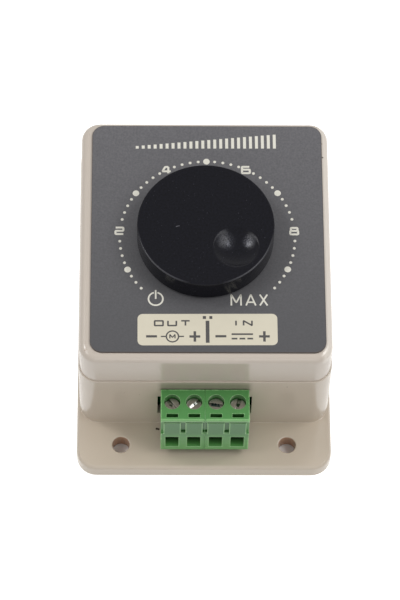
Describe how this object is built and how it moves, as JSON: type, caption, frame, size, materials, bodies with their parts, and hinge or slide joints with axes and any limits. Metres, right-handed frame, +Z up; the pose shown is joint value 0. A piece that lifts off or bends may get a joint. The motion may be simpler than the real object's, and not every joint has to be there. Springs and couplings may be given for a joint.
{
  "type": "dc motor speed controller",
  "caption": "Flanged plastic case with a round dimpled speed knob, a printed dial label and a pull-off screw terminal plug at the front.",
  "frame": {"origin": "centre of the case's footprint, flanges included, on the mounting surface", "axes": "+Z up, out of the knob; the terminal plug faces -Y; +X to the right seen from the plug's side"},
  "size_m": [0.06, 0.0878, 0.043],
  "materials": {
    "case": "glossy warm beige-grey moulded plastic",
    "label": "satin dark grey printed sheet",
    "knob": "satin black moulded plastic with a fine speckle",
    "plug": "semi-gloss green moulded plastic",
    "screw_steel": "zinc plated, worn slots",
    "cage_steel": "nickel plated",
    "tin": "tinned wire and strip",
    "contact": "tin plated brass",
    "spring": "bare phosphor bronze",
    "fastener": "zinc plated pan head screws",
    "board": "green lacquered glass-epoxy board",
    "aluminium": "extruded, mill finish",
    "pad": "grey-blue silicone sheet",
    "black_mould": "black moulding compound",
    "sleeve": "shrunk plastic sleeve over an aluminium can",
    "film": "tan lacquer",
    "disc": "orange dipped ceramic",
    "can": "pressed steel can",
    "bushing": "die-cast zinc, threaded",
    "wafer": "phenolic paper board",
    "nylon": "natural nylon",
    "shaft": "turned bright shaft"
  },
  "bodies": {
    "case": {"base_shell": "case", "cover_shell": "case", "label_plate": "label", "case_screws": "fastener", "circuit_board": "board", "board_screws": "fastener", "terminal_socket": "plug", "socket_pins": "tin", "heat_sink": "aluminium", "insulating_pads": "pad", "transistor_bodies": "black_mould", "transistor_tabs": "tin", "diode_body": "black_mould", "diode_tab": "tin", "heat_sink_screws": "fastener", "main_capacitors": "sleeve", "capacitor_legs": "tin", "control_chip": "black_mould", "chip_pins": "tin", "resistors": "film", "resistor_leads": "tin", "disc_capacitors": "disc", "disc_capacitor_legs": "tin", "regulator": "black_mould", "regulator_legs": "tin", "dial_can": "can", "dial_bushing": "bushing", "track_wafer": "wafer", "track_terminals": "tin", "switch_can": "black_mould", "switch_blade": "spring", "switch_terminals": "tin"},
    "dial": {"control_knob": "knob", "dial_shaft": "shaft", "shaft_ring": "fastener", "wiper_disc": "nylon", "wiper_spring": "spring", "switch_cam": "nylon"},
    "plug": {"plug_housing": "plug", "plug_contacts": "contact"},
    "screw_1": {"clamp_screw_1": "screw_steel"},
    "cage_1": {"clamp_cage_1": "cage_steel"},
    "screw_2": {"clamp_screw_2": "screw_steel"},
    "cage_2": {"clamp_cage_2": "cage_steel"},
    "screw_3": {"clamp_screw_3": "screw_steel"},
    "cage_3": {"clamp_cage_3": "cage_steel"},
    "screw_4": {"clamp_screw_4": "screw_steel"},
    "cage_4": {"clamp_cage_4": "cage_steel"}
  },
  "joints": [
    {"name": "knob_turn", "type": "hinge", "parent": "case", "child": "dial", "pos_m": [0, 0, 0.0399], "axis": [0, 0, 1], "range_deg": [-20, 280]},
    {"name": "plug_slide", "type": "slide", "parent": "case", "child": "plug", "axis": [0, -1, 0], "range_m": [0, 0.012]},
    {"name": "screw_1_turn", "type": "hinge", "parent": "plug", "child": "screw_1", "pos_m": [-0.00762, -0.03535, 0.0191], "axis": [0, 0, 1], "range_deg": [-2005, 0]},
    {"name": "cage_1_lift", "type": "slide", "parent": "plug", "child": "cage_1", "axis": [0, 0, 1], "range_m": [0, 0.0025]},
    {"name": "screw_2_turn", "type": "hinge", "parent": "plug", "child": "screw_2", "pos_m": [-0.00254, -0.03535, 0.0191], "axis": [0, 0, 1], "range_deg": [-2005, 0]},
    {"name": "cage_2_lift", "type": "slide", "parent": "plug", "child": "cage_2", "axis": [0, 0, 1], "range_m": [0, 0.0025]},
    {"name": "screw_3_turn", "type": "hinge", "parent": "plug", "child": "screw_3", "pos_m": [0.00254, -0.03535, 0.0191], "axis": [0, 0, 1], "range_deg": [-2005, 0]},
    {"name": "cage_3_lift", "type": "slide", "parent": "plug", "child": "cage_3", "axis": [0, 0, 1], "range_m": [0, 0.0025]},
    {"name": "screw_4_turn", "type": "hinge", "parent": "plug", "child": "screw_4", "pos_m": [0.00762, -0.03535, 0.0191], "axis": [0, 0, 1], "range_deg": [-2005, 0]},
    {"name": "cage_4_lift", "type": "slide", "parent": "plug", "child": "cage_4", "axis": [0, 0, 1], "range_m": [0, 0.0025]}
  ],
  "couplings": [
    {"joint": "screw_1_turn", "follows": "cage_1_lift", "rad_per_m": -13963},
    {"joint": "screw_2_turn", "follows": "cage_2_lift", "rad_per_m": -13963},
    {"joint": "screw_3_turn", "follows": "cage_3_lift", "rad_per_m": -13963},
    {"joint": "screw_4_turn", "follows": "cage_4_lift", "rad_per_m": -13963}
  ]
}
